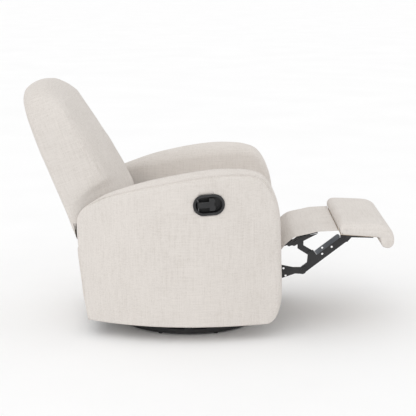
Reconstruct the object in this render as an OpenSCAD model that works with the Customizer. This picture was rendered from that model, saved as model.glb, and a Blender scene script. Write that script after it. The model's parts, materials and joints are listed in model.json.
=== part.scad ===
// Swivel glider recliner chair for a nursery.
// Millimetres. +Z up, the sitter faces -Y, and the origin is on the floor under the swivel.
// The model stands as it is used: footrest out and back part way down.

/* [Body] */
// Half of the width across the side panels
body_half_w = 380; // [370:1:390]
// Half of the clear width between the arms
seat_half_w = 272; // [270:1:276]
// Height of the underside of the upholstered body
body_bottom = 60; // [55:1:70]
// Height of the seat cushion's top
seat_top = 470; // [450:1:485]

/* [Swivel base] */
// Outer radius of the floor ring
ring_r = 280; // [260:1:300]
// Height of the floor ring's band
ring_h = 18; // [14:1:20]
// Number of floor glides
glide_count = 8; // [6:1:12]

/* [Glider] */
// Length of a glide link between its pivots
link_len = 110; // [100:1:112]
// Height of the glide links' upper pivots
hang_z = 205; // [203:1:207]
// Fore and aft distance of the glide pivots from the middle
hang_y = 75; // [70:1:78]

/* [Back] */
// Lean of the back from upright, as it stands
back_lean = 21; // [20:0.5:22]
// Half of the back's width
back_half_w = 258; // [250:1:262]

/* [Footrest] */
// Half of the footrest's width
pad_half_w = 256; // [240:1:260]
// Slope of the footrest, down to the front
pad_tilt = 4; // [3:0.5:5]

/* [Release handle] */
// Length of the handle's bezel
bezel_len = 114; // [108:1:118]
// Height of the handle's bezel
bezel_h = 76; // [70:1:80]
// Tilt of the handle, front end up
handle_tilt = 4; // [0:1:8]

/* [Hidden] */
$fn = 72;
steel_t = 3;
run_gap = 0.1;
// Floor ring and base
foot_h = 5;
ring_wall = 18;
ring_top = foot_h + ring_h;
spoke_w = 30;
spoke_h = 8;
hub_z = ring_top + spoke_h;
spindle_r = 12;
race_z = hub_z + 5;
ball_r = 2.4;
ball_ring_r = 52;
// Swivel frame
plate_z = 53;
rail_z = 57;
hanger_x = 150;
hanger_t = 4;
link_x = 144;
carrier_x = 137;
low_z = hang_z - link_len;
bolt_r = 5;
cross_y = 190;
cross_z = 108;
cross_r = 11;
// Steel layers of the footrest mechanism, measured out from the middle
side_x = 206;
mid_x = 212;
upper_x = 218;
lower_x = 224;
rivet_r = 4;
tube_r = 8;
// Footrest pivots, as [y, z]
torque_p = [-235, 272];
knee_p = [-428, 236];
mid_p = [-462, 298];
pad_corner = [-565, 375];
pad_pin = [18, -18];
// Back pivot, as [y, z]
recline_p = [195, 330];
// The back narrows to this half width near its pivot, between the side panels
notch_r = 255;
core_half_w = 240;
// Curve of the back's rear face, seen from above
back_arc_r = 1600;
back_rear = 223.5;
// Wooden frame inside the back, in the back's own frame
frame_y = 150;
frame_t = 25;
frame_low = 150;
frame_mid = 330;
frame_top = 560;
// Wooden seat rails
wood_z = 300;
wood_h = 35;
// Handle centre; the side panel's front arc turns the handle a little to the front
handle_y = -78;
handle_z = 517;
front_arc_r = 1000;
rear_arc_r = 737;
handle_turn = asin(handle_y / front_arc_r);
handle_x = body_half_w - front_arc_r * (1 - cos(handle_turn));
cup_depth = 30;
pin_back = -38;
pin_in = -10;
pin_half = 26;
// Vertical slot in the right panel for the cable
cable_x = -346;
cable_y = handle_y + 28;

// ---------- shared shapes ----------

// A 2D shape drawn in (y, z), made t thick from x outwards
module side_plate_shape(x, t) {
  translate([x, 0, 0]) rotate([90, 0, 90]) linear_extrude(t) children();
}

// A rod along X from x0 to x1 at p = [y, z]
module x_rod(p, x0, x1, r) {
  translate([x0, p[0], p[1]]) rotate([0, 90, 0]) cylinder(h = x1 - x0, r = r);
}

module both_sides() {
  children();
  mirror([1, 0, 0]) children();
}

module disc(p, r) {
  translate(p) circle(r);
}

// A bar between two points with round ends
module bar(a, b, w) {
  d = b - a;
  disc(a, w / 2);
  disc(b, w / 2);
  translate(a) rotate(atan2(d[1], d[0])) translate([0, -w / 2]) square([norm(d), w]);
}

// Places its children in the back's own frame: x across, y to the rear, z up the back
module in_back() {
  translate([0, recline_p[0], recline_p[1]]) rotate([-back_lean, 0, 0]) children();
}

// Places 2D children in the footrest's own frame: x from its rear edge forward, y down from the board
module in_pad() {
  translate(pad_corner) rotate(180 + pad_tilt) children();
}

// The same points with y upwards, for the frames whose y points down
function upright(points) = [for (p = points) [p[0], -p[1]]];

function pad_to_body(p) = [
  pad_corner[0] - p[0] * cos(pad_tilt) - p[1] * sin(pad_tilt),
  pad_corner[1] - p[0] * sin(pad_tilt) + p[1] * cos(pad_tilt)];

pad_pin_p = pad_to_body(pad_pin);

// Plan of the barrel shaped body: a tighter arc behind the middle than before it
module body_plan() {
  intersection() {
    translate([body_half_w - front_arc_r, 0]) circle(front_arc_r, $fn = 180);
    translate([0, -400]) square([500, 400]);
  }
  intersection() {
    translate([body_half_w - rear_arc_r, 0]) circle(rear_arc_r, $fn = 180);
    square([500, 420]);
  }
}

// ---------- swivel base ----------

module floor_ring() {
  color("#302e2e") difference() {
    translate([0, 0, foot_h]) cylinder(h = ring_h, r = ring_r, $fn = 180);
    translate([0, 0, foot_h - 1]) cylinder(h = ring_h + 2, r = ring_r - ring_wall, $fn = 180);
    for (i = [0:glide_count - 1])
      rotate((i + 0.5) * 360 / glide_count)
        translate([ring_r - ring_wall / 2, 0, 0]) cylinder(h = foot_h + 6, r = 3.5);
  }
}

module floor_glides() {
  color("#1a1a1a") for (i = [0:glide_count - 1])
    rotate((i + 0.5) * 360 / glide_count) translate([ring_r - ring_wall / 2, 0, 0]) {
      cylinder(h = foot_h, r = 8);
      cylinder(h = foot_h + 6, r = 3.5);
    }
}

module base_spokes() {
  color("#2a2828") difference() {
    union() {
      translate([-ring_r + 2, -spoke_w / 2, ring_top]) cube([2 * ring_r - 4, spoke_w, spoke_h]);
      translate([-spoke_w / 2, -ring_r + 2, ring_top]) cube([spoke_w, 2 * ring_r - 4, spoke_h]);
    }
    translate([0, 0, ring_top - 1]) cylinder(h = spoke_h + 2, r = spindle_r);
  }
}

module base_hub() {
  color("#3a3838") {
    translate([0, 0, hub_z]) cylinder(h = 5, r = 75);
    translate([0, 0, ring_top]) cylinder(h = 57, r = spindle_r);
    translate([0, 0, ring_top - 4]) cylinder(h = 4, r = 20);
  }
}

module bearing_lower_race() {
  color("#8d8f92") translate([0, 0, race_z]) difference() {
    cylinder(h = 6, r = 62);
    translate([0, 0, -1]) cylinder(h = 8, r = 42);
  }
}

module bearing_balls() {
  color("#b8babd") for (i = [0:17])
    rotate(i * 20) translate([ball_ring_r, 0, race_z + 6 + ball_r]) sphere(ball_r, $fn = 24);
}

module bearing_upper_race() {
  color("#8d8f92") translate([0, 0, race_z + 11]) difference() {
    cylinder(h = plate_z - race_z - 11, r = 62);
    translate([0, 0, -1]) cylinder(h = 20, r = 42);
  }
}

// ---------- swivel frame, which carries the glide links ----------

module swivel_plate() {
  color("#2c2b2b") translate([0, 0, plate_z]) difference() {
    translate([-179, -100, 0]) cube([358, 200, rail_z - plate_z]);
    translate([0, 0, -1]) cylinder(h = 8, r = spindle_r + run_gap);
    for (x = [-90, 90]) translate([x, 0, -1]) cylinder(h = 8, r = 25);
  }
}

module swivel_rails() {
  color("#2c2b2b") both_sides() translate([hanger_x + hanger_t, -125, rail_z]) difference() {
    cube([25, 250, 25]);
    translate([2, -1, 2]) cube([21, 252, 21]);
  }
}

module hanger_outline() {
  polygon([[-22, rail_z], [22, rail_z], [13, hang_z], [-13, hang_z]]);
  disc([0, hang_z], 14);
}

module hanger_plates() {
  color("#2c2b2b") both_sides() for (y = [-hang_y, hang_y])
    translate([0, y, 0]) side_plate_shape(hanger_x, hanger_t) difference() {
      hanger_outline();
      disc([0, hang_z], bolt_r);
      disc([0, 120], 9);
    }
}

module upper_glide_bolts() {
  color("#77797c") both_sides() for (y = [-hang_y, hang_y]) {
    x_rod([y, hang_z], 142, 158, bolt_r);
    x_rod([y, hang_z], 142, 143.8, 9);
    x_rod([y, hang_z], 147.2, 150, 9);
    x_rod([y, hang_z], 154, 158, 9);
  }
}

module glide_link_pair(y, low_r) {
  color("#333131") both_sides() side_plate_shape(link_x, steel_t) difference() {
    bar([y, hang_z], [y, low_z], 26);
    disc([y, hang_z], bolt_r + run_gap);
    disc([y, low_z], low_r);
    disc([y, hang_z - link_len / 2], tube_r);
  }
}

module link_tie(y) {
  color("#333131") x_rod([y, hang_z - link_len / 2], -link_x - steel_t, link_x + steel_t, tube_r);
}

// ---------- seat chassis, which glides ----------

module glide_carrier() {
  color("#2c2b2b") side_plate_shape(carrier_x, 4) difference() {
    translate([-205, 78]) square([410, 42]);
    for (y = [-hang_y, hang_y]) disc([y, low_z], bolt_r);
    for (y = [-cross_y, cross_y]) disc([y, cross_z], cross_r);
    for (y = [-130, 0, 130]) disc([y, 99], 8);
  }
}

module lower_glide_bolts() {
  color("#77797c") both_sides() for (y = [-hang_y, hang_y]) {
    x_rod([y, low_z], 133, 149, bolt_r);
    x_rod([y, low_z], 133, 137, 9);
    x_rod([y, low_z], 141, 143.8, 9);
    x_rod([y, low_z], 147.2, 149, 9);
  }
}

module cross_tubes() {
  color("#2c2b2b") for (y = [-cross_y, cross_y]) difference() {
    x_rod([y, cross_z], -side_x, side_x, cross_r);
    x_rod([y, cross_z], -side_x - 1, side_x + 1, cross_r - 2);
  }
}

// Pressed steel plate: deep at the rear, with an arm to the torque tube in front
module mechanism_side_plate() {
  color("#262525") side_plate_shape(side_x, steel_t) difference() {
    union() {
      polygon([[208, 92], [208, 318], [190, 333], [-225, 333], [-250, 320], [-250, 272],
               [-225, 254], [-140, 254], [-140, 150], [-208, 122], [-208, 92]]);
      disc(torque_p, 16);
      disc(recline_p, 18);
    }
    disc(torque_p, tube_r + run_gap);
    disc(recline_p, bolt_r);
    for (y = [-90, 20, 130]) disc([y, 190], 24);
    for (y = [-180, -60, 60, 160]) disc([y, wood_z + wood_h / 2], 3);
  }
}

module recline_pins() {
  color("#77797c") both_sides() {
    x_rod(recline_p, 204, 217, bolt_r);
    x_rod(recline_p, 202, 206, 9);
    x_rod(recline_p, 209, 211.8, 9);
    x_rod(recline_p, 215.2, 217.5, 9);
  }
}

module seat_rails() {
  color("#c9a878") both_sides() translate([side_x + steel_t, -262, wood_z])
    cube([seat_half_w - side_x - steel_t, 432, wood_h]);
}

module seat_front_rail() {
  color("#c9a878") translate([-side_x, -262, wood_z]) cube([2 * side_x, 20, wood_h]);
}

module seat_rear_rail() {
  color("#c9a878") translate([-side_x, 148, wood_z]) cube([2 * side_x, 20, wood_h]);
}

// Five sinuous springs: half turns joined end to end, from rail to rail
module seat_springs() {
  wave = 25;
  turns = 15;
  wire_r = 2;
  start_y = -229;
  color("#6f7174") for (x = [-150:75:150]) translate([x, start_y, wood_z + wood_h - 6]) {
    translate([0, -13, 0]) rotate([-90, 0, 0]) cylinder(h = 13, r = wire_r, $fn = 16);
    for (i = [0:turns - 1]) translate([0, (i + 0.5) * wave, 0])
      rotate(i % 2 == 0 ? -90 : 90)
        rotate_extrude(angle = 180, $fn = 48) translate([wave / 2, 0]) circle(wire_r, $fn = 16);
    translate([0, turns * wave, 0]) rotate([-90, 0, 0]) cylinder(h = 2, r = wire_r, $fn = 16);
  }
}

module seat_deck() {
  color("#d8d2c4") translate([-seat_half_w + 4, -262, wood_z + wood_h]) cube([2 * seat_half_w - 8, 430, 9]);
}

module seat_cushion() {
  z0 = wood_z + wood_h + 9.5;
  color("#ece6dc") side_plate_shape(-seat_half_w + 4, 2 * seat_half_w - 8)
    union() {
      translate([-275, z0]) square([440, seat_top - z0]);
      translate([-305, z0 + 30]) square([40, seat_top - z0 - 60]);
      disc([-275, seat_top - 30], 30);
      disc([-275, z0 + 30], 30);
    }
}

// Outline of a side panel and its arm, seen from the side
module arm_outline() {
  polygon([[405, 432], [402, 342], [393, 249], [382, 155], [371, body_bottom], [-295, body_bottom],
           [-322, 77], [-338, 105], [-346, 150], [-347, 207], [-344, 300], [-339, 451], [-329, 506],
           [-309, 561], [-298, 583], [-283, 606], [-261, 622], [-226, 632], [-190, 637],
           [-118, 637], [-46, 630], [26, 618], [133, 595], [242, 563], [315, 533], [366, 502],
           [388, 481], [401, 458]]);
}

// Left panel as a solid; the inner face is flat beside the seat and turns in behind it
module side_panel_solid() {
  intersection() {
    side_plate_shape(200, 200) arm_outline();
    linear_extrude(700) difference() {
      body_plan();
      polygon([[0, -500], [seat_half_w, -500], [seat_half_w, 362], [248, 404], [248, 500], [0, 500]]);
    }
  }
}

module side_panel_left() {
  color("#ece6dc") side_panel_solid();
}

// A stadium in the handle's plane, long axis fore and aft
module stadium(len, h) {
  bar([-(len - h) / 2, 0], [(len - h) / 2, 0], h);
}

// Places children at the handle on the right panel: x out of the panel's face, y forward, z up
module at_handle() {
  mirror([1, 0, 0]) translate([handle_x, handle_y, handle_z]) rotate([0, 0, handle_turn])
    rotate([-handle_tilt, 0, 0]) mirror([0, 1, 0]) children();
}

// The right panel has the handle's pocket and a slot for the cable
module side_panel_right() {
  slot = 12;
  slot_low = wood_z - 24;
  color("#ece6dc") difference() {
    mirror([1, 0, 0]) side_panel_solid();
    at_handle() side_plate_shape(-cup_depth - 0.5, 60) stadium(bezel_len - 10, bezel_h - 10);
    translate([cable_x - slot / 2, cable_y - slot / 2, slot_low]) cube([slot, slot, 216]);
    translate([cable_x - slot / 2, cable_y - slot / 2, slot_low]) cube([-cable_x, slot, slot]);
  }
}

module rear_panel() {
  color("#e6e0d6") intersection() {
    linear_extrude(400) polygon([[-270, 300], [270, 300], [270, 361], [246, 404], [-246, 404], [-270, 361]]);
    side_plate_shape(-300, 600) polygon([
      [387, 322], [379, 249], [372, 193], [366, 116], [360, 65],
      [373, 65], [379, 116], [385, 193], [392, 249], [399, 322]]);
  }
}

// ---------- release handle ----------

module handle_housing() {
  wall = 3;
  color("#2b292b") at_handle() difference() {
    union() {
      side_plate_shape(1, 4) stadium(bezel_len, bezel_h);
      side_plate_shape(-cup_depth, cup_depth + 1) stadium(bezel_len - 11, bezel_h - 11);
    }
    side_plate_shape(-cup_depth + wall, 60) stadium(bezel_len - 18, bezel_h - 18);
    translate([pin_in, pin_back, -pin_half]) cylinder(h = 2 * pin_half, r = 2);
  }
}

module handle_pin() {
  color("#77797c") at_handle() translate([pin_in, pin_back, -pin_half])
    cylinder(h = 2 * pin_half, r = 2);
}

// T shaped paddle: a narrow stem at the pin and a wide blade in front of it
module release_paddle() {
  stem_w = 22;
  blade_w = 46;
  color("#302e31") at_handle() difference() {
    union() {
      side_plate_shape(-8, 7) {
        translate([pin_back, -stem_w / 2]) square([44, stem_w]);
        translate([2, -blade_w / 2]) square([18, blade_w]);
        for (side = [-1, 1]) disc([14, side * (blade_w / 2 - 10)], 10);
      }
      translate([pin_in, pin_back, -stem_w / 2]) cylinder(h = stem_w, r = 6);
    }
    translate([pin_in, pin_back, -stem_w]) cylinder(h = 2 * stem_w, r = 2 + run_gap);
  }
}

// Sheathed cable: down inside the panel, then inwards under the seat rail
module release_cable() {
  r = 2.5;
  bend = 12;
  top = handle_z - 38;
  low = wood_z - 18;
  color("#1c1c1c") {
    translate([cable_x, cable_y, low + bend]) cylinder(h = top - low - bend, r = r, $fn = 24);
    translate([cable_x + bend, cable_y, low + bend]) rotate([-90, 0, 0]) rotate([0, 0, 90])
      rotate_extrude(angle = 90, $fn = 48) translate([bend, 0]) circle(r, $fn = 24);
    x_rod([cable_y, low], cable_x + bend, -side_x - steel_t - 12, r);
  }
}

module cable_anchor() {
  color("#2c2b2b") difference() {
    translate([-side_x - steel_t - 12, cable_y - 9, wood_z - 30]) cube([12, 18, 24]);
    x_rod([cable_y, wood_z - 18], -side_x - steel_t - 13, -side_x - steel_t - 6, 2.5);
  }
}

// ---------- back ----------

module back_bracket() {
  reach = 193;
  up = recline_p + reach * [sin(back_lean), cos(back_lean)];
  color("#262525") side_plate_shape(mid_x, steel_t) difference() {
    union() {
      disc(recline_p, 22);
      translate(recline_p) rotate(90 - back_lean) translate([10, -16]) square([reach - 5, 32]);
      disc(up, 18);
    }
    disc(recline_p, bolt_r + run_gap);
    for (k = [0.5, 0.7, 0.9]) disc(recline_p + k * (up - recline_p), 3.5);
  }
}

// Side view of the whole upholstered back, in body coordinates
module back_outline() {
  polygon([[215, 421], [215, 516], [242, 575], [272, 625], [311, 696], [348, 752], [387, 807],
           [430, 860], [457, 891], [483, 911], [512, 924], [545, 927], [584, 916], [604, 902],
           [616, 883], [619, 857], [607, 794], [579, 710], [542, 614], [504, 521], [468, 437],
           [426, 345], [418, 347], [438, 421]]);
}

// Front view of the back, in its own frame
module back_front_outline() {
  top = 688;
  corner = 140;
  translate([-back_half_w, -60]) square([2 * back_half_w, top - corner + 60]);
  translate([-back_half_w + corner, -60]) square([2 * (back_half_w - corner), top + 60]);
  for (side = [-1, 1]) disc([side * (back_half_w - corner), top - corner], corner);
}

module back_solid() {
  difference() {
    intersection() {
      side_plate_shape(-300, 600) back_outline();
      in_back() translate([0, 500, 0]) rotate([90, 0, 0]) linear_extrude(900) back_front_outline();
      in_back() translate([0, back_rear - back_arc_r, -100]) cylinder(r = back_arc_r, h = 900, $fn = 180);
    }
    both_sides() intersection() {
      x_rod(recline_p, core_half_w, 320, notch_r);
      translate([core_half_w, 0, 410]) cube([200, 440, 300]);
    }
  }
}

module frame_pocket() {
  in_back() translate([-200.5, frame_y - 1, frame_low - 0.5])
    cube([401, frame_t + 1.5, frame_top - frame_low + 1]);
}

// The cushion has a slot on either side for the recline bracket
module back_cushion() {
  slot = steel_t + 1;
  color("#e8e2d8") difference() {
    intersection() {
      back_solid();
      in_back() translate([-300, -400, -100]) cube([600, 400 + frame_y - 0.5, 900]);
    }
    both_sides() in_back() translate([mid_x - 0.5, -19, 60]) cube([slot, 38, 154]);
  }
}

module back_shell() {
  color("#ece6dc") difference() {
    intersection() {
      back_solid();
      in_back() translate([-300, frame_y, -100]) cube([600, 400, 900]);
    }
    frame_pocket();
  }
}

module back_frame() {
  color("#c9a878") in_back() translate([0, frame_y, 0]) {
    both_sides() translate([160, 0, frame_low]) cube([40, frame_t, frame_top - frame_low]);
    for (z = [frame_low, frame_mid, frame_top - 40]) translate([-160, 0, z]) cube([320, frame_t, 40]);
  }
}

module back_webbing() {
  color("#b9b4a8") in_back() for (x = [-110, -36, 38]) {
    translate([x, frame_y + 1, frame_low + 40]) cube([72, 2, frame_mid - frame_low - 40]);
    translate([x, frame_y + 1, frame_mid + 40]) cube([72, 2, frame_top - frame_mid - 80]);
  }
}

// ---------- footrest mechanism ----------

module torque_tube() {
  color("#262525") difference() {
    x_rod(torque_p, -lower_x - steel_t, lower_x + steel_t, tube_r);
    x_rod(torque_p, -lower_x - steel_t - 1, lower_x + steel_t + 1, tube_r - 2);
  }
}

module lower_link_outline() {
  difference() {
    union() {
      disc(torque_p, 16);
      polygon([[-240, 287], [-352, 257], [-392, 249], [-428, 249], [-424, 223], [-400, 224],
               [-352, 207], [-229, 257]]);
      disc(knee_p, 14);
    }
    disc(torque_p, tube_r);
    disc(knee_p, rivet_r);
    disc([-357, 244], 4);
    disc([-365, 216], 4);
  }
}

module lower_link() {
  color("#262525") side_plate_shape(lower_x, steel_t) lower_link_outline();
}

module knee_rivets() {
  color("#3b3a3a") both_sides() {
    x_rod(knee_p, 216.2, 229, rivet_r);
    x_rod(knee_p, 216.2, 217.8, 7);
    x_rod(knee_p, 221.2, 224, 7);
    x_rod(knee_p, 227, 229, 7);
  }
}

link_angle = atan2(pad_pin_p[1] - knee_p[1], knee_p[0] - pad_pin_p[0]);
link_reach = norm(pad_pin_p - knee_p);

// Places 2D children along the upper link: x from the knee to the pad, y below it
module on_upper_link() {
  translate(knee_p) rotate(180 - link_angle) children();
}

module upper_link() {
  color("#262525") side_plate_shape(upper_x, steel_t) difference() {
    union() {
      on_upper_link() {
        bar([0, 0], [link_reach, 0], 27);
        polygon(upright([[30, 0], [30, 12], [56, 40], [78, 38], [78, 0]]));
      }
      disc(mid_p, 13);
    }
    disc(knee_p, rivet_r + run_gap);
    disc(mid_p, rivet_r);
    disc(pad_pin_p, rivet_r);
    on_upper_link() for (x = [96, 140]) disc([x, -4], 4);
  }
}

// Plated stiffening strip riveted along the upper edge of each upper link
module link_strips() {
  color("#7d7f82") both_sides() side_plate_shape(upper_x, steel_t) on_upper_link() difference() {
    union() {
      translate([79, -31]) square([102, 17]);
      disc([181, -22.5], 8.5);
    }
    disc([110, -23], 4);
  }
}

module upper_link_rivets() {
  color("#3b3a3a") both_sides() {
    x_rod(mid_p, 210, 223, rivet_r);
    x_rod(mid_p, 209.8, 211.8, 7);
    x_rod(mid_p, 215.2, 218, 7);
    x_rod(mid_p, 221, 222.8, 7);
    x_rod(pad_pin_p, 217, 229, rivet_r);
    x_rod(pad_pin_p, 216, 218, 7);
    x_rod(pad_pin_p, 221, 223.8, 7);
    x_rod(pad_pin_p, 227.2, 229, 7);
  }
}

// Bracket that holds the slat under the flap
module mid_bracket() {
  color("#262525") side_plate_shape(mid_x, steel_t) difference() {
    union() {
      disc(mid_p, 13);
      polygon([[-457, 288], [-409, 318], [-409, 345], [-431, 356], [-431, 330], [-468, 308]]);
      polygon([[-372, 338], [-425, 364], [-485, 375], [-430, 346], [-415, 334], [-372, 326]]);
      disc([-378, 334], 8);
    }
    disc(mid_p, rivet_r + run_gap);
    polygon([[-396, 339], [-393, 342], [-402, 352], [-406, 352], [-406, 348]]);
  }
}

slat_rear = [-418, 361];
slat_front = [-484, 377];

module mid_slat() {
  color("#1f1e1e") side_plate_shape(-mid_x, 2 * mid_x)
    polygon([slat_rear, slat_front, slat_front + [1, 5], slat_rear + [1, 5]]);
}

module footrest_flap() {
  color("#d9d2c6") side_plate_shape(-mid_x, 2 * mid_x)
    polygon([slat_rear + [1, 5.4], slat_front + [1, 5.4], slat_front + [2, 11], slat_rear + [2, 11]]);
}

module pad_bracket() {
  color("#262525") side_plate_shape(lower_x, steel_t) difference() {
    in_pad() polygon(upright([[2, 0], [2, -24], [12, -30], [30, -27], [44, -9], [125, -5], [125, 0]]));
    disc(pad_pin_p, rivet_r + run_gap);
  }
}

module footrest_board() {
  color("#1d1c1c") side_plate_shape(-pad_half_w + 20, 2 * pad_half_w - 40)
    in_pad() polygon(upright([[2, 0], [135, 0], [135, 10], [2, 10]]));
}

module footrest_pad() {
  color("#ece6dc") difference() {
    side_plate_shape(-pad_half_w, 2 * pad_half_w) in_pad() polygon(upright([
      [0, 4], [0, 40], [5, 45], [70, 49], [140, 51], [165, 48], [184, 36], [196, 18], [199, -5],
      [192, -24], [178, -34], [160, -32], [150, -20], [145, 3]]));
    side_plate_shape(-pad_half_w + 19.5, 2 * pad_half_w - 39)
      in_pad() polygon(upright([[-1, -1], [135.5, -1], [135.5, 10.5], [-1, 10.5]]));
  }
}

// ---------- parts, one per name ----------

floor_ring();
floor_glides();
base_spokes();
base_hub();
bearing_lower_race();
bearing_balls();
bearing_upper_race();
swivel_plate();
swivel_rails();
hanger_plates();
upper_glide_bolts();
glide_link_pair(-hang_y, bolt_r + run_gap);  // front_glide_links
link_tie(-hang_y);  // front_link_tie
glide_link_pair(hang_y, bolt_r + 6 * run_gap);  // rear_glide_links
link_tie(hang_y);  // rear_link_tie
glide_carrier();  // glide_carrier_left
mirror([1, 0, 0]) glide_carrier();  // glide_carrier_right
lower_glide_bolts();
cross_tubes();
mechanism_side_plate();  // side_plate_left
mirror([1, 0, 0]) mechanism_side_plate();  // side_plate_right
recline_pins();
seat_rails();
seat_front_rail();
seat_rear_rail();
seat_springs();
seat_deck();
seat_cushion();
side_panel_left();
side_panel_right();
rear_panel();
handle_housing();
handle_pin();
release_cable();
cable_anchor();
back_bracket();  // back_bracket_left
mirror([1, 0, 0]) back_bracket();  // back_bracket_right
back_frame();
back_webbing();
back_cushion();
back_shell();
release_paddle();
torque_tube();
lower_link();  // lower_link_left
mirror([1, 0, 0]) lower_link();  // lower_link_right
knee_rivets();
upper_link();  // upper_link_left
mirror([1, 0, 0]) upper_link();  // upper_link_right
link_strips();
upper_link_rivets();
mid_bracket();  // mid_bracket_left
mirror([1, 0, 0]) mid_bracket();  // mid_bracket_right
mid_slat();
footrest_flap();
pad_bracket();  // pad_bracket_left
mirror([1, 0, 0]) pad_bracket();  // pad_bracket_right
footrest_board();
footrest_pad();
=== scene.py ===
"""Glider nursery chair: upholstery, finishes, floor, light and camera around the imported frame."""

import json
import math

import bmesh
import bpy
import numpy as np
from mathutils import Matrix, Vector, noise


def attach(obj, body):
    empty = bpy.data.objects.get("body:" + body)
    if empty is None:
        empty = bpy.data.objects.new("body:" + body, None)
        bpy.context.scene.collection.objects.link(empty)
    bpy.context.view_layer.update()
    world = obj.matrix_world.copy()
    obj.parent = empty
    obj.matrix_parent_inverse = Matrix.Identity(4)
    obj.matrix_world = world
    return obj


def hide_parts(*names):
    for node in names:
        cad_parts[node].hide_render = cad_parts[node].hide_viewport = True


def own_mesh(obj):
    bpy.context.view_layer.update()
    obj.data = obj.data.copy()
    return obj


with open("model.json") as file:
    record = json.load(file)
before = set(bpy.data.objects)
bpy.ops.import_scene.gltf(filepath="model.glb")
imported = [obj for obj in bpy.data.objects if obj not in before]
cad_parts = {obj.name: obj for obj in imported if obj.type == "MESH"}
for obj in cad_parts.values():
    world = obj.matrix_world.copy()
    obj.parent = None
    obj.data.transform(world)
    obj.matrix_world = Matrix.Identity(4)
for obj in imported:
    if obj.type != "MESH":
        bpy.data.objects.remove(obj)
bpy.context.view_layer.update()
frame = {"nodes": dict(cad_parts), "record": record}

# ---------- sizes in metres, the same as in the CAD source ----------

BODY_HALF_W = 0.380
FRONT_ARC = 1.000
REAR_ARC = 0.737
SEAT_HALF_W = 0.272
BACK_HALF_W = 0.258
BACK_CORE_W = 0.244
BACK_PIVOT = (0.195, 0.330)
BACK_LEAN = math.radians(21)
PAD_CORNER = (-0.565, 0.375)
PAD_TURN = math.radians(184)
HANDLE_AT = (-0.078, 0.517)
HANDLE_TILT = math.radians(4)
HANDLE_SIZE = (0.106, 0.068)


# ---------- small helpers ----------


def smooth(a, b, x):
    """0 before a, 1 after b, and a smooth step between them."""
    t = np.clip((np.asarray(x, float) - a) / (b - a), 0, 1)
    return t * t * (3 - 2 * t)


def table(x, pairs):
    """A value read off a short table of (x, value) pairs."""
    return np.interp(x, [p[0] for p in pairs], [p[1] for p in pairs])


def path(points, count, curved=True):
    """The points joined by one smooth line, as count points spaced evenly along it."""
    p = np.array(points, float)
    if curved:
        ends = np.vstack([2 * p[0] - p[1], p, 2 * p[-1] - p[-2]])
        fine = []
        for i in range(1, len(ends) - 2):
            a, b, c, d = ends[i - 1 : i + 3]
            t = np.linspace(0, 1, 12, endpoint=False)[:, None]
            fine.append(
                0.5
                * (
                    2 * b
                    + (c - a) * t
                    + (2 * a - 5 * b + 4 * c - d) * t**2
                    + (3 * b - a - 3 * c + d) * t**3
                )
            )
        p = np.vstack(fine + [p[-1:]])
    run = np.concatenate([[0], np.cumsum(np.linalg.norm(np.diff(p, axis=0), axis=1))])
    at = np.linspace(0, run[-1], count)
    return np.stack([np.interp(at, run, p[:, k]) for k in range(p.shape[1])], 1)


def angles_of(*degrees):
    return [math.radians(a) for a in degrees]


def ripple(points, size, seed):
    """Soft noise from -1 to 1 at each point, with bumps about size across."""
    shift = Vector((seed * 7.31, seed * 3.17, seed * 5.77))
    return np.array([noise.noise(Vector(p) / size + shift) for p in points])


def piece(name, verts, faces, material, body):
    """A smooth shaded piece of upholstery that rides on a body."""
    mesh = bpy.data.meshes.new(name)
    mesh.from_pydata([tuple(map(float, v)) for v in verts], [], faces)
    bm = bmesh.new()
    bm.from_mesh(mesh)
    bmesh.ops.remove_doubles(bm, verts=bm.verts, dist=1e-6)
    bmesh.ops.recalc_face_normals(bm, faces=bm.faces)
    bm.to_mesh(mesh)
    bm.free()
    mesh.polygons.foreach_set("use_smooth", [True] * len(mesh.polygons))
    obj = bpy.data.objects.new(name, mesh)
    bpy.context.scene.collection.objects.link(obj)
    obj.data.materials.append(material)
    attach(obj, body)
    return obj


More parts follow.
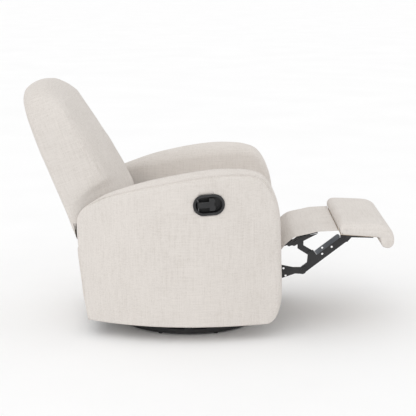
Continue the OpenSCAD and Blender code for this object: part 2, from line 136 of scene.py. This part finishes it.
def slab(arch, base, radii, faces_at, angles, rungs, band, swell=None):
    """A padded body with an outline of two lines that share their ends, and a face on either side of it.
    radii(normal, outline) gives the edge rounding of both faces, faces_at(a, b) how far out both faces are,
    and swell(face, angle, outline) adds to the rounding. It returns points (a, b, c) and faces."""
    loop = np.vstack([arch, base[-2:0:-1]])
    n_arch, n_loop = len(arch), len(loop)
    along = np.roll(loop, -1, 0) - np.roll(loop, 1, 0)
    along /= np.linalg.norm(along, axis=1)[:, None]
    inward = np.stack([-along[:, 1], along[:, 0]], 1)
    x, y = loop.T
    if (x * np.roll(y, -1) - np.roll(x, -1) * y).sum() < 0:
        inward = -inward
    rounding = radii(-inward, loop)
    verts, quads, first = [], [], []
    for side, sign in ((0, -1), (1, 1)):
        r = rounding[side]
        for k, angle in enumerate(angles):
            extra = swell(side, angle, loop) if swell else 0.0
            inset = r - (r + extra) * math.cos(angle)
            drop = r - (r + extra) * math.sin(angle)
            ab = loop + inward * inset[:, None]
            c = faces_at(ab[:, 0], ab[:, 1])[side] - sign * drop
            if k == 0:
                first.append(len(verts))
            start = len(verts)
            verts.extend(np.column_stack([ab, c]))
            if k:
                for i in range(n_loop):
                    j = (i + 1) % n_loop
                    quads.append((start - n_loop + i, start - n_loop + j, start + j, start + i))
        top = ab[1 : n_arch - 1]
        low = ab[n_arch:][::-1]
        rows = [list(range(start + 1, start + n_arch - 1))]
        for k in range(1, rungs):
            t = k / rungs
            mid = top * (1 - t) + low * t
            rows.append(list(range(len(verts), len(verts) + len(mid))))
            verts.extend(np.column_stack([mid, faces_at(mid[:, 0], mid[:, 1])[side]]))
        rows.append(list(range(start + n_arch, start + n_loop))[::-1])
        for upper, lower in zip(rows, rows[1:]):
            for i in range(len(upper) - 1):
                quads.append((upper[i], upper[i + 1], lower[i + 1], lower[i]))
            quads.append((start, upper[0], lower[0]))
            quads.append((start + n_arch - 1, lower[-1], upper[-1]))
    near, far = first
    last = near
    for k in range(1, band + 1):
        if k < band:
            start = len(verts)
            t = k / band
            verts.extend([verts[near + i] * (1 - t) + verts[far + i] * t for i in range(n_loop)])
        else:
            start = far
        for i in range(n_loop):
            j = (i + 1) % n_loop
            quads.append((last + i, last + j, start + j, start + i))
        last = start
    return np.array(verts), quads


def even(radius):
    """The same edge rounding everywhere on both faces of a slab."""

    def radii(normal, loop):
        return np.full(len(loop), radius), np.full(len(loop), radius)

    return radii


def ring_of_cord(line, radius, sides=8):
    """Points and faces of a round cord swept along a level loop of points."""
    count = len(line)
    along = np.roll(line, -1, 0) - np.roll(line, 1, 0)
    along /= np.linalg.norm(along, axis=1)[:, None]
    side = np.cross(along, (0.0, 0.0, 1.0))
    over = np.cross(side, along)
    verts, quads = [], []
    for k in range(sides):
        a = 2 * math.pi * k / sides
        verts.append(line + radius * (math.cos(a) * side + math.sin(a) * over))
    verts = np.stack(verts, 1).reshape(-1, 3)
    for i in range(count):
        j = (i + 1) % count
        for k in range(sides):
            m = (k + 1) % sides
            quads.append((i * sides + k, j * sides + k, j * sides + m, i * sides + m))
    return verts, quads


def apply_modifier(obj, kind, **settings):
    modifier = obj.modifiers.new(kind.lower(), kind)
    for key, value in settings.items():
        setattr(modifier, key, value)
    bpy.context.view_layer.update()
    evaluated = obj.evaluated_get(bpy.context.evaluated_depsgraph_get())
    shape = bpy.data.meshes.new_from_object(evaluated)
    obj.modifiers.clear()
    obj.data = shape


def joined(parts):
    """Several (points, faces) as one."""
    verts, faces, start = [], [], 0
    for v, f in parts:
        verts.append(np.array(v))
        faces.extend([tuple(start + i for i in face) for face in f])
        start += len(v)
    return np.vstack(verts), faces


# ---------- materials ----------


class Finish:
    """A node material. Each method adds a node and returns its output."""

    def __init__(self, name, **constants):
        self.material = bpy.data.materials.new(name)
        self.material.use_nodes = True
        self.tree = self.material.node_tree
        self.shader = self.tree.nodes["Principled BSDF"]
        for key, value in constants.items():
            self.shader.inputs[key.replace("_", " ")].default_value = value
        self.position = self.tree.nodes.new("ShaderNodeTexCoord").outputs["Object"]

    def put(self, node, name, value):
        if isinstance(value, bpy.types.NodeSocket):
            self.tree.links.new(value, node.inputs[name])
        else:
            node.inputs[name].default_value = value

    def placed(self, scale=(1, 1, 1), turn=(0, 0, 0), vector=None):
        node = self.tree.nodes.new("ShaderNodeMapping")
        self.put(node, "Vector", vector or self.position)
        node.inputs["Scale"].default_value = scale
        node.inputs["Rotation"].default_value = turn
        return node.outputs["Vector"]

    def noise(self, vector, scale, detail=2.0, rough=0.5):
        node = self.tree.nodes.new("ShaderNodeTexNoise")
        self.put(node, "Vector", vector)
        node.inputs["Scale"].default_value = scale
        node.inputs["Detail"].default_value = detail
        node.inputs["Roughness"].default_value = rough
        return node.outputs["Fac"]

    def sum(self, kind, a, b=0.0, c=0.0):
        node = self.tree.nodes.new("ShaderNodeMath")
        node.operation = kind
        for i, value in enumerate((a, b, c)):
            if isinstance(value, bpy.types.NodeSocket):
                self.tree.links.new(value, node.inputs[i])
            else:
                node.inputs[i].default_value = value
        return node.outputs[0]

    def ramp(self, value, stops):
        node = self.tree.nodes.new("ShaderNodeValToRGB")
        self.put(node, "Fac", value)
        ramp = node.color_ramp
        while len(ramp.elements) < len(stops):
            ramp.elements.new(0.5)
        for element, (at, colour) in zip(ramp.elements, stops):
            element.position = at
            element.color = (*colour, 1)
        return node.outputs["Color"]

    def bump(self, height, strength, distance):
        node = self.tree.nodes.new("ShaderNodeBump")
        node.inputs["Strength"].default_value = strength
        node.inputs["Distance"].default_value = distance
        self.put(node, "Height", height)
        self.tree.links.new(node.outputs["Normal"], self.shader.inputs["Normal"])

    def colour(self, value):
        self.tree.links.new(value, self.shader.inputs["Base Color"])

    def rough(self, value):
        self.tree.links.new(value, self.shader.inputs["Roughness"])


def weave(f, place, pitch):
    """Over and under of a plain weave, whichever way a face looks."""
    node = f.tree.nodes.new("ShaderNodeSeparateXYZ")
    f.tree.links.new(place, node.inputs[0])
    x, y, z = (
        f.sum("SINE", f.sum("MULTIPLY", node.outputs[k], 2 * math.pi / pitch)) for k in range(3)
    )
    xy, yz = f.sum("MULTIPLY", x, y), f.sum("MULTIPLY", y, z)
    return f.sum("ADD", f.sum("ADD", xy, yz), f.sum("MULTIPLY", z, x))


def linen(name, turn=0.0, pale=(0.690, 0.650, 0.612), dark=(0.608, 0.566, 0.526), pitch=0.0026):
    """Slubby ivory linen: threads along the piece's own axes, thick and thin, a little uneven in tone."""
    across_thread, along_thread = 250, 14
    f = Finish(name, Roughness=0.92, Specular_IOR_Level=0.22, Sheen_Weight=0.06, Sheen_Roughness=0.6)
    place = f.placed(turn=(turn, 0, 0))
    threads = []
    for k in range(3):
        scale = [across_thread] * 3
        scale[k] = along_thread
        threads.append(f.noise(f.placed(scale=tuple(scale), vector=place), 1.0, 3.0, 0.62))
    slub = f.sum("MULTIPLY", f.sum("ADD", f.sum("ADD", threads[0], threads[1]), threads[2]), 1 / 3)
    cloud = f.noise(place, 7.0, 3.0, 0.55)
    tone = f.sum("ADD", f.sum("MULTIPLY", slub, 0.86), f.sum("MULTIPLY", cloud, 0.14))
    f.colour(
        f.ramp(
            tone,
            [
                (0.40, dark),
                (0.47, tuple(0.35 * d + 0.65 * p for d, p in zip(dark, pale))),
                (0.53, pale),
                (0.62, tuple(min(1, p * 1.05) for p in pale)),
            ],
        )
    )
    fleck = f.sum("MULTIPLY", weave(f, place, pitch), 0.16)
    f.bump(f.sum("ADD", slub, fleck), 0.55, 0.0011)
    return f.material


def powder_coat(name):
    """Black powder coat with a fine orange peel, and dust in the hollows of its grain."""
    f = Finish(name, Specular_IOR_Level=0.45)
    grain = f.noise(f.position, 900, 2.0)
    patch = f.noise(f.position, 14, 4.0, 0.6)
    stops = [(0.30, (0.011, 0.011, 0.012)), (0.55, (0.019, 0.018, 0.019)), (0.78, (0.034, 0.032, 0.032))]
    f.colour(f.ramp(patch, stops))
    f.rough(f.sum("MULTIPLY_ADD", patch, 0.24, 0.30))
    f.bump(grain, 0.30, 0.0004)
    return f.material


def plated(name):
    """Zinc plate, drawn one way, with duller patches."""
    f = Finish(name, Metallic=1.0)
    drawn = f.noise(f.placed(scale=(500, 30, 500)), 1.0, 3.0)
    patch = f.noise(f.position, 30, 3.0)
    tone = f.sum("MULTIPLY_ADD", drawn, 0.5, f.sum("MULTIPLY", patch, 0.5))
    f.colour(f.ramp(tone, [(0.35, (0.16, 0.16, 0.17)), (0.6, (0.34, 0.34, 0.35))]))
    f.rough(f.sum("MULTIPLY_ADD", patch, 0.22, 0.26))
    f.bump(drawn, 0.15, 0.0003)
    return f.material


def moulded(name, low, high, peel=1400):
    """Satin moulded plastic with a spark-eroded grain."""
    f = Finish(name, Specular_IOR_Level=0.5)
    grain = f.noise(f.position, peel, 2.0, 0.6)
    patch = f.noise(f.position, 22, 3.0)
    f.colour(f.ramp(patch, [(0.35, low), (0.70, high)]))
    f.rough(f.sum("MULTIPLY_ADD", patch, 0.16, 0.36))
    f.bump(grain, 0.35, 0.0003)
    return f.material


def sawn_wood(name):
    """Unfinished pine: long rings along X and Z, with fine pores."""
    f = Finish(name, Roughness=0.72)
    bent = f.noise(f.placed(scale=(2.5, 14, 2.5)), 1.0, 3.0)
    rings = f.tree.nodes.new("ShaderNodeTexWave")
    f.put(rings, "Vector", f.placed(scale=(3, 60, 9)))
    rings.inputs["Scale"].default_value = 1.0
    rings.inputs["Distortion"].default_value = 5.0
    rings.inputs["Detail"].default_value = 3.0
    tone = f.sum("MULTIPLY_ADD", rings.outputs["Fac"], 0.6, f.sum("MULTIPLY", bent, 0.4))
    f.colour(f.ramp(tone, [(0.2, (0.42, 0.27, 0.14)), (0.8, (0.66, 0.48, 0.29))]))
    f.bump(f.noise(f.placed(scale=(40, 900, 900)), 1.0, 2.0), 0.3, 0.0004)
    return f.material


def webbing(name):
    """Coarse jute webbing."""
    f = Finish(name, Roughness=0.95, Specular_IOR_Level=0.2)
    over = weave(f, f.position, 0.0055)
    fibre = f.noise(f.position, 260, 3.0)
    tone = f.sum("MULTIPLY_ADD", over, 0.16, fibre)
    f.colour(f.ramp(tone, [(0.3, (0.24, 0.20, 0.15)), (0.7, (0.52, 0.47, 0.39))]))
    f.bump(tone, 0.8, 0.0015)
    return f.material


def sheath(name):
    """Ribbed black cable sheath."""
    f = Finish(name, Specular_IOR_Level=0.4)
    ribs = f.tree.nodes.new("ShaderNodeTexWave")
    ribs.bands_direction = "Z"
    f.put(ribs, "Vector", f.position)
    ribs.inputs["Scale"].default_value = 120
    patch = f.noise(f.position, 60, 2.0)
    f.colour(f.ramp(patch, [(0.35, (0.010, 0.010, 0.010)), (0.7, (0.026, 0.026, 0.027))]))
    f.rough(f.sum("MULTIPLY_ADD", patch, 0.2, 0.45))
    f.bump(ribs.outputs["Fac"], 0.5, 0.0006)
    return f.material


cloth = linen("linen_body")
back_cloth = linen("linen_back", turn=BACK_LEAN)
piping_cloth = linen("linen_piping", pitch=0.0016, pale=(0.680, 0.640, 0.602))
finishes = {
    "upholstery_linen": cloth,
    "black_steel": powder_coat("black_powder_coat"),
    "plated_steel": plated("zinc_plate"),
    "black_plastic": moulded("black_plastic", (0.007, 0.007, 0.008), (0.019, 0.019, 0.021)),
    "frame_wood": sawn_wood("pine"),
    "deck_webbing": webbing("jute_webbing"),
    "cable_sheath": sheath("cable_sheath"),
}
covered = {
    "seat_front_rail": cloth,
    "seat_rails": cloth,
    "link_strips": moulded("zinc_strip", (0.050, 0.055, 0.064), (0.095, 0.102, 0.115)),
}
for row in frame["record"]["subparts"]:
    node = frame["nodes"][row["node"]]
    finish = covered.get(row["node"], finishes[row["material_slot"]])
    if node.material_slots:
        for slot in node.material_slots:
            slot.material = finish
    else:
        node.data.materials.append(finish)


# ---------- side panels with their arms ----------


def outer_x(y):
    """Half width of the barrel shaped body at y."""
    front = BODY_HALF_W - FRONT_ARC + np.sqrt(FRONT_ARC**2 - y**2)
    rear = BODY_HALF_W - REAR_ARC + np.sqrt(REAR_ARC**2 - y**2)
    return np.where(y < 0, front, rear)


def inner_x(y):
    """Inner face of a side panel: straight beside the seat, turning in behind it."""
    return SEAT_HALF_W - 0.024 * np.clip((y - 0.362) / 0.042, 0, None)


ARM_ARCH = [
    (-0.296, 0.060), (-0.310, 0.066), (-0.322, 0.077), (-0.333, 0.094), (-0.341, 0.118),
    (-0.346, 0.150), (-0.347, 0.207), (-0.344, 0.300), (-0.341, 0.400), (-0.338, 0.455),
    (-0.329, 0.506), (-0.318, 0.540), (-0.304, 0.572), (-0.285, 0.601), (-0.261, 0.621),
    (-0.226, 0.632), (-0.190, 0.637), (-0.118, 0.638), (-0.046, 0.631), (0.026, 0.619),
    (0.080, 0.608), (0.133, 0.596), (0.188, 0.580), (0.235, 0.564), (0.270, 0.5515),
    (0.300, 0.5385), (0.325, 0.5235), (0.350, 0.5070), (0.374, 0.4890), (0.393, 0.4700), (0.405, 0.4480),
    (0.4095, 0.4250), (0.4090, 0.3850), (0.4055, 0.3420), (0.395, 0.249), (0.387, 0.193),
    (0.379, 0.116), (0.3725, 0.060),
]
ARM_BASE = [ARM_ARCH[0], ARM_ARCH[-1]]
ARM_ANGLES = angles_of(0, 8, 16, 24, 31, 37, 42, 46, 48.5, 50, 51.5, 53, 54.5, 57, 61, 67, 74, 82, 90)
SEAM_ANGLE = math.radians(51)


def arm_radii(normal, loop):
    thick = outer_x(loop[:, 0]) - inner_x(loop[:, 0])
    up = smooth(0.05, 0.95, normal[:, 1])
    down = smooth(0.0, 0.8, -normal[:, 1])
    side = np.where(normal[:, 0] < 0, 0.021, 0.011)
    found = []
    for share in (0.555, 0.435):
        r = side * (1 - up) + share * thick * up
        r = r * (1 - down) + 0.006 * down
        found.append(np.minimum(r, (0.99 * share) * thick))
    return found


def arm_faces(y, z):
    upright = smooth(0.06, 0.20, z) * (1 - smooth(0.40, 0.60, z))
    lengthwise = smooth(-0.35, -0.26, y) * (1 - smooth(0.30, 0.40, y))
    puff = 0.0025 * upright * lengthwise
    return inner_x(y) - 0.4 * puff, outer_x(y) + puff


def arm_swell(side, angle, loop):
    """A raised seam along the arm, just below its crest on the outer face."""
    y, z = loop.T
    on = smooth(-0.335, -0.300, y) * (1 - smooth(0.33, 0.38, y)) * smooth(0.42, 0.50, z)
    if side == 0:
        return 0.0 * on
    d = (angle - SEAM_ANGLE) / math.radians(2.2)
    g = (angle - SEAM_ANGLE - math.radians(5)) / math.radians(3.5)
    return on * (0.0034 * math.exp(-d * d) - 0.0022 * math.exp(-g * g))


def handle_matrix():
    y, z = HANDLE_AT
    turn = math.asin(y / FRONT_ARC)
    x = BODY_HALF_W - FRONT_ARC * (1 - math.cos(turn))
    flip_x = Matrix.Diagonal((-1, 1, 1, 1))
    flip_y = Matrix.Diagonal((1, -1, 1, 1))
    turned = Matrix.Rotation(turn, 4, "Z") @ Matrix.Rotation(-HANDLE_TILT, 4, "X")
    return flip_x @ Matrix.Translation((x, y, z)) @ turned @ flip_y


def cut_pocket(obj):
    """Opens the right panel for the handle's cup."""
    length, height = HANDLE_SIZE
    r = height / 2
    ring = []
    for k in range(48):
        a = 2 * math.pi * k / 48
        ring.append((r * math.cos(a) + math.copysign((length - height) / 2, math.cos(a)), r * math.sin(a)))
    place = handle_matrix()
    verts = [place @ Vector((x, a, b)) for x in (-0.0335, 0.05) for a, b in ring]
    n = len(ring)
    faces = [tuple(range(n)), tuple(range(2 * n - 1, n - 1, -1))]
    faces += [(k, (k + 1) % n, n + (k + 1) % n, n + k) for k in range(n)]
    mesh = bpy.data.meshes.new("pocket_cutter")
    mesh.from_pydata([tuple(v) for v in verts], [], faces)
    bm = bmesh.new()
    bm.from_mesh(mesh)
    bmesh.ops.recalc_face_normals(bm, faces=bm.faces)
    bm.to_mesh(mesh)
    bm.free()
    cutter = bpy.data.objects.new("pocket_cutter", mesh)
    bpy.context.scene.collection.objects.link(cutter)
    apply_modifier(obj, "BOOLEAN", operation="DIFFERENCE", object=cutter, solver="EXACT")
    bpy.data.objects.remove(cutter)
    obj.data.polygons.foreach_set("use_smooth", [True] * len(obj.data.polygons))


arch = path(ARM_ARCH, 190)
base = path(ARM_BASE, 190, curved=False)
arm_points, arm_quads = slab(arch, base, arm_radii, arm_faces, ARM_ANGLES, 26, 2, arm_swell)
for side, name in ((1, "left"), (-1, "right")):
    p = arm_points.copy()
    p = np.column_stack([p[:, 2], p[:, 0], p[:, 1]])
    soft = ripple(p, 0.16, 3 + side) * 0.0009 + ripple(p, 0.05, 9 + side) * 0.0004
    p[:, 0] = (p[:, 0] + np.where(p[:, 0] > 0.32, soft, 0)) * side
    arm = piece(f"arm_panel_{name}", p, arm_quads, cloth, "chassis")
    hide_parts(f"side_panel_{name}")
    if side < 0:
        cut_pocket(arm)


# ---------- back ----------

FRONT_MIDDLE = [
    (0.0896, -0.0140), (0.130, -0.0330), (0.1811, -0.0480), (0.2014, -0.0485), (0.2459, -0.0435),
    (0.2813, -0.0375), (0.3029, -0.0340), (0.3424, -0.0285), (0.3828, -0.0230), (0.4167, -0.0155),
    (0.4493, -0.0085), (0.4823, 0.0000), (0.5139, 0.0085), (0.5454, 0.0190), (0.600, 0.0385),
    (0.688, 0.0740),
]
FRONT_EDGE = [
    (0.0896, -0.0070), (0.2568, 0.0040), (0.3189, 0.0105), (0.3819, 0.0190), (0.4446, 0.0290),
    (0.5069, 0.0385), (0.587, 0.0480), (0.688, 0.0840),
]
REAR_MIDDLE = [
    (0.0966, 0.2100), (0.1187, 0.2105), (0.1493, 0.2135), (0.1981, 0.2160), (0.2419, 0.2190),
    (0.2888, 0.2205), (0.3425, 0.2215), (0.3895, 0.2220), (0.4398, 0.2235), (0.4926, 0.2225),
    (0.5405, 0.2205), (0.5809, 0.2180), (0.612, 0.2140), (0.640, 0.2080), (0.688, 0.1960),
]


def back_outline():
    """Left side up, over the top and down the right side, in the back's own plane."""
    side, low, high = [], 0.0966, 0.500
    for z in np.linspace(low, high, 12, endpoint=False):
        side.append((-BACK_HALF_W, z))
    power = 2 / 3.1
    for a in np.linspace(0, math.pi / 2, 22):
        side.append((-BACK_HALF_W * math.cos(a) ** power, high + 0.188 * math.sin(a) ** power))
    return side + [(-x, z) for x, z in side[-2::-1]]


def back_radii(normal, loop):
    up = smooth(0.1, 1.0, normal[:, 1])
    down = smooth(0.3, 1.0, -normal[:, 1])
    front = (0.034 * (1 - up) + 0.070 * up) * (1 - down) + 0.012 * down
    rear = (0.013 * (1 - up) + 0.040 * up) * (1 - down) + 0.003 * down
    return front, rear


def back_faces(x, z):
    across = np.clip(np.abs(x) / BACK_HALF_W, 0, 1)
    middle, edge = table(z, FRONT_MIDDLE), table(z, FRONT_EDGE)
    front = middle + (edge - middle) * across**2.3
    sag = 0.020 + 0.018 * smooth(0.10, 0.30, z)
    return front, table(z, REAR_MIDDLE) - sag * across**2


def back_swell(side, angle, loop):
    """The soft ridge down the front corner, and the sewn edge behind."""
    if side == 0:
        d = (angle - math.radians(40)) / math.radians(9)
        return np.full(len(loop), 0.0025 * math.exp(-d * d))
    d = (angle - math.radians(45)) / math.radians(12)
    return np.full(len(loop), 0.0016 * math.exp(-d * d))


def back_place(p):
    """Clears the arms and the recline brackets, and sets the back at its lean."""
    x, z, y = p[:, 0].copy(), p[:, 1].copy(), p[:, 2].copy()
    floor = (0.091 + y * math.sin(BACK_LEAN)) / math.cos(BACK_LEAN)
    tail = smooth(0.178, 0.197, y)
    floor = floor * (1 - tail) + 0.0966 * tail
    z = np.maximum(z, floor)
    reach = np.hypot(y, z)
    skirt = BACK_CORE_W + (BACK_HALF_W - BACK_CORE_W) * smooth(0.17, 0.30, z)
    core = BACK_CORE_W + (skirt - BACK_CORE_W) * smooth(0.247, 0.280, reach)
    world_y = BACK_PIVOT[0] + y * math.cos(BACK_LEAN) + z * math.sin(BACK_LEAN)
    width = core + (skirt - core) * smooth(0.414, 0.423, world_y)
    x *= width / BACK_HALF_W
    world_z = BACK_PIVOT[1] + z * math.cos(BACK_LEAN) - y * math.sin(BACK_LEAN)
    return np.column_stack([x, world_y, world_z])


back_arch = path(back_outline(), 220, curved=False)
back_base = path([back_arch[0], back_arch[-1]], 220, curved=False)
back_angles = angles_of(0, 9, 18, 27, 34, 40, 46, 53, 61, 70, 80, 90)
p, quads = slab(back_arch, back_base, back_radii, back_faces, back_angles, 44, 20, back_swell)
lumps = ripple(p, 0.17, 21) * 0.0030 + ripple(p, 0.06, 22) * 0.0009
p[:, 2] += lumps * (1 - smooth(0.02, 0.10, p[:, 2]))
back = piece("back_upholstery", back_place(p), quads, back_cloth, "back")
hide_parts("back_cushion", "back_shell")

# ---------- seat cushion ----------

SEAT_LOW = 0.3448
SEAT_ARCH = [
    (-0.296, SEAT_LOW), (-0.303, 0.352), (-0.3065, 0.375), (-0.3075, 0.405), (-0.3065, 0.432),
    (-0.301, 0.452), (-0.287, 0.463), (-0.262, 0.467), (-0.150, 0.467), (0.00, 0.466),
    (0.120, 0.465), (0.152, 0.459), (0.163, 0.440), (0.165, 0.400), (0.163, 0.355), (0.158, SEAT_LOW),
]
SEAT_BASE = [SEAT_ARCH[0], SEAT_ARCH[-1]]


def seat_faces(y, z):
    bulge = 0.0022 * smooth(0.35, 0.39, z) * (1 - smooth(0.42, 0.465, z))
    return -(0.2665 + bulge), 0.2665 + bulge


p, quads = slab(
    path(SEAT_ARCH, 120), path(SEAT_BASE, 120, curved=False), even(0.018), seat_faces,
    angles_of(0, 15, 30, 45, 60, 75, 90), 16, 44,
)
p = np.column_stack([p[:, 2], p[:, 0], p[:, 1]])
crown_x = np.clip(1 - (np.abs(p[:, 0]) / 0.268) ** 2.6, 0, 1)
crown_y = np.clip(1 - (np.abs(p[:, 1] + 0.07) / 0.236) ** 2.6, 0, 1)
crown = crown_x * crown_y
p[:, 2] += (0.014 * crown + ripple(p, 0.11, 31) * 0.0022 * crown**0.3) * smooth(0.42, 0.462, p[:, 2])
seat = piece("seat_cushion_soft", p, quads, cloth, "chassis")
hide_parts("seat_cushion")


def seat_welt(front, height):
    """A row of piping around the seat cushion."""
    x, rear, r = 0.2655, 0.1625, 0.020
    corners = [(x - r, rear - r), (-x + r, rear - r), (-x + r, front + r), (x - r, front + r)]
    line = []
    for k, (cx, cy) in enumerate(corners):
        for a in np.radians(np.linspace(90 * k, 90 * k + 90, 8)):
            line.append((cx + r * math.cos(a), cy + r * math.sin(a), height))
    return ring_of_cord(path(line + line[:1], 260, curved=False)[:-1], 0.0033)


welts = joined([seat_welt(-0.3045, 0.4515), seat_welt(-0.3035, 0.3560)])
piece("seat_piping", *welts, piping_cloth, "chassis")

# ---------- rear panel between the side panels ----------

REAR_LINE = [(0.065, 0.3735), (0.116, 0.3795), (0.193, 0.3855), (0.249, 0.3925), (0.322, 0.3995)]
REAR_PUFF = [
    (0.065, 0.002), (0.110, 0.004), (0.160, 0.009), (0.240, 0.009), (0.300, 0.010), (0.331, 0.009),
]


def rear_half_w(z):
    return inner_x(table(z, REAR_LINE)) + 0.0008


def rear_faces(x, z):
    line = table(z, REAR_LINE)
    return line - 0.0125, line + table(z, REAR_PUFF)


heights = np.linspace(0.066, 0.331, 14)
side_line = [(-rear_half_w(z), z) for z in heights]
rear_arch = path(side_line + [(-x, z) for x, z in side_line[::-1]], 130, curved=False)
rear_base = path([rear_arch[0], rear_arch[-1]], 130, curved=False)
p, quads = slab(rear_arch, rear_base, even(0.006), rear_faces, angles_of(0, 22, 45, 68, 90), 16, 1)
p = np.column_stack([p[:, 0], p[:, 2], p[:, 1]])
rear = piece("rear_cover", p, quads, cloth, "chassis")
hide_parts("rear_panel")

# ---------- footrest pad ----------

PAD_ARCH = [
    (0.002, 0.004), (-0.003, 0.014), (-0.004, 0.028), (0.001, 0.040), (0.012, 0.047), (0.040, 0.050),
    (0.080, 0.0515), (0.120, 0.0520), (0.148, 0.0510), (0.168, 0.0455), (0.184, 0.0355),
    (0.1945, 0.0190), (0.1995, -0.0020), (0.1985, -0.0180), (0.1925, -0.0290), (0.1830, -0.0345),
    (0.172, -0.0350),
]
PAD_BASE = [
    (0.002, 0.004), (0.040, 0.0035), (0.100, 0.0035), (0.140, 0.0030), (0.1480, -0.0060), (0.1530, -0.0200),
    (0.1600, -0.0310), (0.172, -0.0350),
]


def pad_radii(normal, loop):
    up = smooth(-0.2, 0.7, normal[:, 1]) * smooth(-0.01, 0.03, loop[:, 1])
    r = 0.007 + 0.017 * up
    return r, r.copy()


def pad_faces(a, b):
    bulge = 0.003 * smooth(0.0, 0.02, b) * (1 - smooth(0.03, 0.052, b))
    return -(0.2545 + bulge), 0.2545 + bulge


p, quads = slab(
    path(PAD_ARCH, 110), path(PAD_BASE, 110), pad_radii, pad_faces,
    angles_of(0, 13, 26, 39, 52, 65, 78, 90), 10, 44,
)
a, b, x = p[:, 0].copy(), p[:, 1].copy(), p[:, 2].copy()
crown = np.clip(1 - (np.abs(x) / 0.2575) ** 4, 0, 1)
b += (0.0045 * crown - 0.0020) * smooth(0.035, 0.050, b)
b += ripple(np.column_stack([x, a, b]), 0.09, 41) * 0.0014 * smooth(0.03, 0.05, b)
y = PAD_CORNER[0] + a * math.cos(PAD_TURN) + b * math.sin(PAD_TURN)
z = PAD_CORNER[1] + a * math.sin(PAD_TURN) - b * math.cos(PAD_TURN)
pad = piece("footrest_pad_soft", np.column_stack([x, y, z]), quads, cloth, "footrest")
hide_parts("footrest_pad")

# ---------- cloth flap between seat and footrest ----------

FLAP_LINE = [
    (-0.302, 0.3290), (-0.314, 0.3170), (-0.328, 0.3090), (-0.340, 0.3090), (-0.349, 0.3170),
    (-0.362, 0.3340), (-0.378, 0.3490), (-0.391, 0.3590), (-0.403, 0.3650), (-0.418, 0.3692),
    (-0.451, 0.3765), (-0.484, 0.3838), (-0.520, 0.3865), (-0.5600, 0.3885),
]
FLAP_HALF_W = 0.222
FLAP_HALF_T = 0.0009
rows = path(FLAP_LINE, 56)
columns = np.linspace(-FLAP_HALF_W, FLAP_HALF_W, 61)
verts, faces = [], []
for face in (FLAP_HALF_T, -FLAP_HALF_T):
    for i, (y, z) in enumerate(rows):
        middle = math.sin(math.pi * i / (len(rows) - 1))
        for x in columns:
            dip = -0.0010 * (1 - (x / FLAP_HALF_W) ** 2) * middle
            fold = 0.0010 * noise.noise(Vector((x * 9, y * 14, 5.0))) * middle
            verts.append((x, y, z + dip + fold + face))
w = len(columns)
layer = w * len(rows)
for start, order in ((0, 1), (layer, -1)):
    for i in range(len(rows) - 1):
        for j in range(w - 1):
            k = start + i * w + j
            faces.append((k, k + 1, k + w + 1, k + w)[::order])
edge = [j for j in range(w)] + [i * w + w - 1 for i in range(1, len(rows))]
edge += [(len(rows) - 1) * w + j for j in range(w - 2, -1, -1)]
edge += [i * w for i in range(len(rows) - 2, 0, -1)]
for a, b in zip(edge, edge[1:] + edge[:1]):
    faces.append((a, layer + a, layer + b, b))
flap = piece("footrest_flap_cloth", verts, faces, cloth, "chassis")
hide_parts("footrest_flap")
flap_length = float(np.linalg.norm(np.diff(rows, axis=0), axis=1).sum())
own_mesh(flap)

# ---------- floor, light and camera ----------

mesh = bpy.data.meshes.new("floor")
half = 70.0
corners = [(-half, -half, 0), (half, -half, 0), (half, half, 0), (-half, half, 0)]
mesh.from_pydata(corners, [], [(0, 1, 2, 3)])
floor = bpy.data.objects.new("floor", mesh)
bpy.context.scene.collection.objects.link(floor)
f = Finish("studio_floor", Roughness=0.9, Specular_IOR_Level=0.1)
f.colour(f.ramp(f.noise(f.position, 1.5, 3.0), [(0.3, (0.92, 0.92, 0.92)), (0.7, (0.94, 0.94, 0.94))]))
floor.data.materials.append(f.material)

world = bpy.data.worlds.new("studio")
bpy.context.scene.world = world
world.use_nodes = True
background = world.node_tree.nodes["Background"]
background.inputs["Color"].default_value = (1.0, 1.0, 1.0, 1)
background.inputs["Strength"].default_value = 0.95

sun = bpy.data.lights.new("key", "SUN")
sun.energy = 0.65
sun.angle = math.radians(75)
key = bpy.data.objects.new("key", sun)
key.rotation_euler = Vector((0.75, -0.35, -0.57)).to_track_quat("-Z", "Y").to_euler()
bpy.context.scene.collection.objects.link(key)

data = bpy.data.cameras.new("camera")
data.lens = 102.0
data.sensor_width = 36.0
data.clip_end = 200.0
camera = bpy.data.objects.new("camera", data)
camera.location = (-4.493, -0.0748, 1.365)
camera.rotation_euler = (math.radians(78.21), 0, math.radians(-90))
bpy.context.scene.collection.objects.link(camera)
bpy.context.scene.camera = camera
bpy.context.scene.view_settings.view_transform = "Standard"
